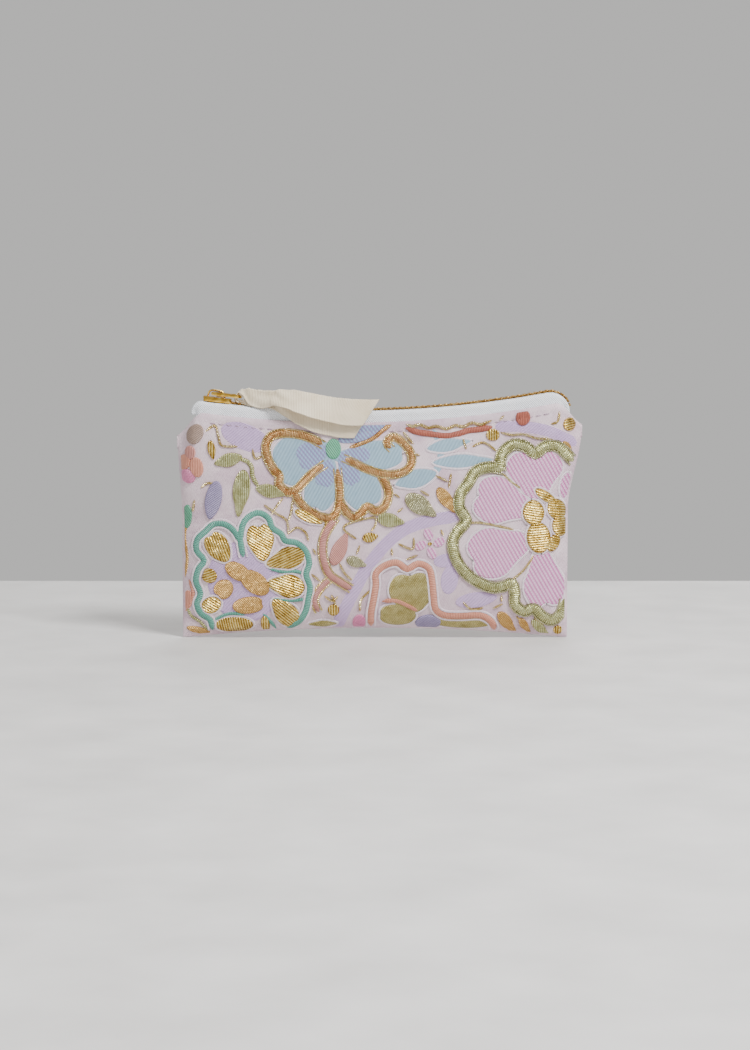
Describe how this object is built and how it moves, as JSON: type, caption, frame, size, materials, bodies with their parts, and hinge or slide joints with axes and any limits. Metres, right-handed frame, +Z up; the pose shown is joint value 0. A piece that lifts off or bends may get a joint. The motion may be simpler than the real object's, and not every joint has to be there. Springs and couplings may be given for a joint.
{
  "type": "zippered pouch",
  "caption": "Small upright fabric pouch with two crowned lined walls, a curved metal zip along the top, a pull tab and a ribbon tied through it.",
  "frame": {"origin": "bottom centre of the standing pouch's box, midway between its two walls", "axes": "+X runs along the zip towards the end where it is fully open, +Y points out of the back wall, +Z is up"},
  "size_m": [0.15, 0.0184, 0.0936],
  "materials": {
    "brocade": "satin jacquard weave with raised metallic motifs",
    "interfacing": "needled felt",
    "lining": "plain weave cotton",
    "zip_tape": "woven herringbone tape",
    "antique_brass": "tumbled and darkened",
    "gold_plate": "polished bright gold plate",
    "ribbon": "ribbed grosgrain",
    "thread": "spun polyester"
  },
  "bodies": {
    "pouch": {"outer_front": "brocade", "interfacing_front": "interfacing", "lining_front": "lining", "zip_tape_front": "zip_tape", "zip_teeth_front": "antique_brass", "top_stop_front": "antique_brass", "top_stop_back": "antique_brass", "bottom_stop": "antique_brass", "topstitch_front": "thread", "side_seam_thread_left": "thread", "side_seam_thread_right": "thread", "bottom_seam_thread": "thread", "lining_seam_thread": "thread"},
    "back_wall": {"outer_back": "brocade", "interfacing_back": "interfacing", "lining_back": "lining", "zip_tape_back": "zip_tape", "zip_teeth_back": "antique_brass", "topstitch_back": "thread"},
    "slider": {"slider_body": "gold_plate", "slider_crown": "gold_plate"},
    "lock_pin": {"lock_pin": "gold_plate"},
    "pull_tab": {"pull_tab": "gold_plate"},
    "ribbon": {"ribbon": "ribbon"}
  },
  "joints": [
    {"name": "slider_travel", "type": "hinge", "parent": "pouch", "child": "slider", "pos_m": [-0.011, 0, 0.4846], "axis": [0, -1, 0], "range_deg": [0, 16.8], "deforming": ["zip_teeth_front", "zip_teeth_back", "zip_tape_front", "zip_tape_back"]},
    {"name": "mouth_opening", "type": "hinge", "parent": "pouch", "child": "back_wall", "pos_m": [0, 0, 0], "axis": [-1, 0, 0], "range_deg": [0, 12]},
    {"name": "pull_tab_flip", "type": "hinge", "parent": "slider", "child": "pull_tab", "pos_m": [-0.06184, 0, 0.09127], "axis": [0, -1, 0], "range_deg": [0, 150]},
    {"name": "lock_pin_lift", "type": "slide", "parent": "slider", "child": "lock_pin", "axis": [0.1232, 0, 0.9924], "range_m": [0, 0.0005]},
    {"name": "ribbon_swing", "type": "hinge", "parent": "pull_tab", "child": "ribbon", "pos_m": [-0.0514, 0, 0.0901], "axis": [0, -1, 0], "range_deg": [0, 20]}
  ],
  "couplings": [
    {"joint": "mouth_opening", "follows": "slider_travel", "ratio": 0.714},
    {"joint": "lock_pin_lift", "follows": "pull_tab_flip", "m_per_rad": 0.00019}
  ]
}
